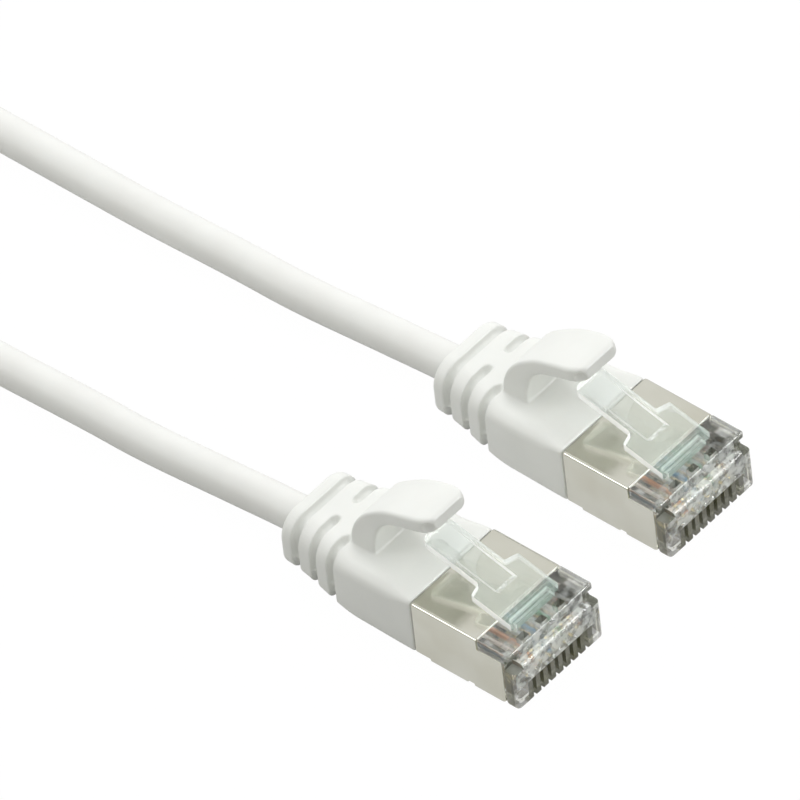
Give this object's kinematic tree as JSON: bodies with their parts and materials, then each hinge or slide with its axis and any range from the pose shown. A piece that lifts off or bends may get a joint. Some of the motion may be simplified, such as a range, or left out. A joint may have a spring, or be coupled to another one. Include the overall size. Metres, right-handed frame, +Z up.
{
  "type": "ethernet patch cable",
  "caption": "Short slim shielded patch cable: a clear latched plug with a metal shell and a white grooved boot at each end of a thin white round cable laid in a loop.",
  "frame": {"origin": "bottom centre of the object's bounding box, on the plane it rests on", "axes": "+X from the loop towards the plug noses, +Y from plug A to plug B, +Z up"},
  "size_m": [0.1384, 0.0436, 0.0143],
  "materials": {
    "clear_plug": "clear polycarbonate, polished",
    "nickel_shell": "nickel-plated stamped sheet, warm satin reflections",
    "gold_contact": "gold-plated contact blade",
    "white_boot": "moulded white boot, fine satin",
    "white_jacket": "extruded white jacket, soft sheen",
    "foil_core": "aluminium foil screen round the twisted pairs",
    "guide_plastic": "natural moulded wire guide",
    "wire_orange": "solid colour wire insulation",
    "wire_white_orange": "white wire insulation with a stripe",
    "wire_green": "solid colour wire insulation",
    "wire_white_green": "white wire insulation with a stripe",
    "wire_blue": "solid colour wire insulation",
    "wire_white_blue": "white wire insulation with a stripe",
    "wire_brown": "solid colour wire insulation",
    "wire_white_brown": "white wire insulation with a stripe"
  },
  "bodies": {
    "cable_loop": {"jacket_loop": "white_jacket", "core_loop": "foil_core"},
    "leg_a": {"jacket_leg_a": "white_jacket", "core_leg_a": "foil_core"},
    "plug_a": {"housing_a": "clear_plug", "shield_a": "nickel_shell", "boot_a": "white_boot", "load_bar_a": "guide_plastic", "jacket_end_a": "white_jacket", "core_end_a": "foil_core", "contact_1_a": "gold_contact", "contact_2_a": "gold_contact", "contact_3_a": "gold_contact", "contact_4_a": "gold_contact", "contact_5_a": "gold_contact", "contact_6_a": "gold_contact", "contact_7_a": "gold_contact", "contact_8_a": "gold_contact", "wire_1_a": "wire_white_orange", "wire_2_a": "wire_orange", "wire_3_a": "wire_white_green", "wire_4_a": "wire_blue", "wire_5_a": "wire_white_blue", "wire_6_a": "wire_green", "wire_7_a": "wire_white_brown", "wire_8_a": "wire_brown"},
    "latch_a": {"latch_a": "clear_plug"},
    "tab_a": {"boot_tab_a": "white_boot"},
    "leg_b": {"jacket_leg_b": "white_jacket", "core_leg_b": "foil_core"},
    "plug_b": {"housing_b": "clear_plug", "shield_b": "nickel_shell", "boot_b": "white_boot", "load_bar_b": "guide_plastic", "jacket_end_b": "white_jacket", "core_end_b": "foil_core", "contact_1_b": "gold_contact", "contact_2_b": "gold_contact", "contact_3_b": "gold_contact", "contact_4_b": "gold_contact", "contact_5_b": "gold_contact", "contact_6_b": "gold_contact", "contact_7_b": "gold_contact", "contact_8_b": "gold_contact", "wire_1_b": "wire_white_orange", "wire_2_b": "wire_orange", "wire_3_b": "wire_white_green", "wire_4_b": "wire_blue", "wire_5_b": "wire_white_blue", "wire_6_b": "wire_green", "wire_7_b": "wire_white_brown", "wire_8_b": "wire_brown"},
    "latch_b": {"latch_b": "clear_plug"},
    "tab_b": {"boot_tab_b": "white_boot"}
  },
  "joints": [
    {"name": "leg_a_swing", "type": "hinge", "parent": "cable_loop", "child": "leg_a", "pos_m": [-0.00279, -0.01123, 0.00185], "axis": [0, 0, -1], "range_deg": [-4, 45]},
    {"name": "plug_a_lift", "type": "hinge", "parent": "leg_a", "child": "plug_a", "pos_m": [0.03221, -0.01005, 0.00186], "axis": [0, -1, 0], "range_deg": [0, 45]},
    {"name": "latch_a_press", "type": "hinge", "parent": "plug_a", "child": "latch_a", "pos_m": [0.06651, -0.00958, 0.007], "axis": [0, -1, 0], "range_deg": [0, 10], "stiffness_Nm_per_rad": 0.002},
    {"name": "tab_a_press", "type": "hinge", "parent": "plug_a", "child": "tab_a", "pos_m": [0.04961, -0.00958, 0.00705], "axis": [0, 1, 0], "range_deg": [0, 20]},
    {"name": "leg_b_swing", "type": "hinge", "parent": "cable_loop", "child": "leg_b", "pos_m": [-0.00397, 0.01123, 0.00185], "axis": [0, 0, 1], "range_deg": [-4, 45]},
    {"name": "plug_b_lift", "type": "hinge", "parent": "leg_b", "child": "plug_b", "pos_m": [0.03103, 0.0124, 0.00186], "axis": [0, -1, 0], "range_deg": [0, 45]},
    {"name": "latch_b_press", "type": "hinge", "parent": "plug_b", "child": "latch_b", "pos_m": [0.06533, 0.01287, 0.007], "axis": [0, -1, 0], "range_deg": [0, 10], "stiffness_Nm_per_rad": 0.002},
    {"name": "tab_b_press", "type": "hinge", "parent": "plug_b", "child": "tab_b", "pos_m": [0.04843, 0.01287, 0.00705], "axis": [0, 1, 0], "range_deg": [0, 20]}
  ],
  "couplings": [
    {"joint": "tab_a_press", "follows": "latch_a_press", "ratio": 2},
    {"joint": "tab_b_press", "follows": "latch_b_press", "ratio": 2}
  ]
}
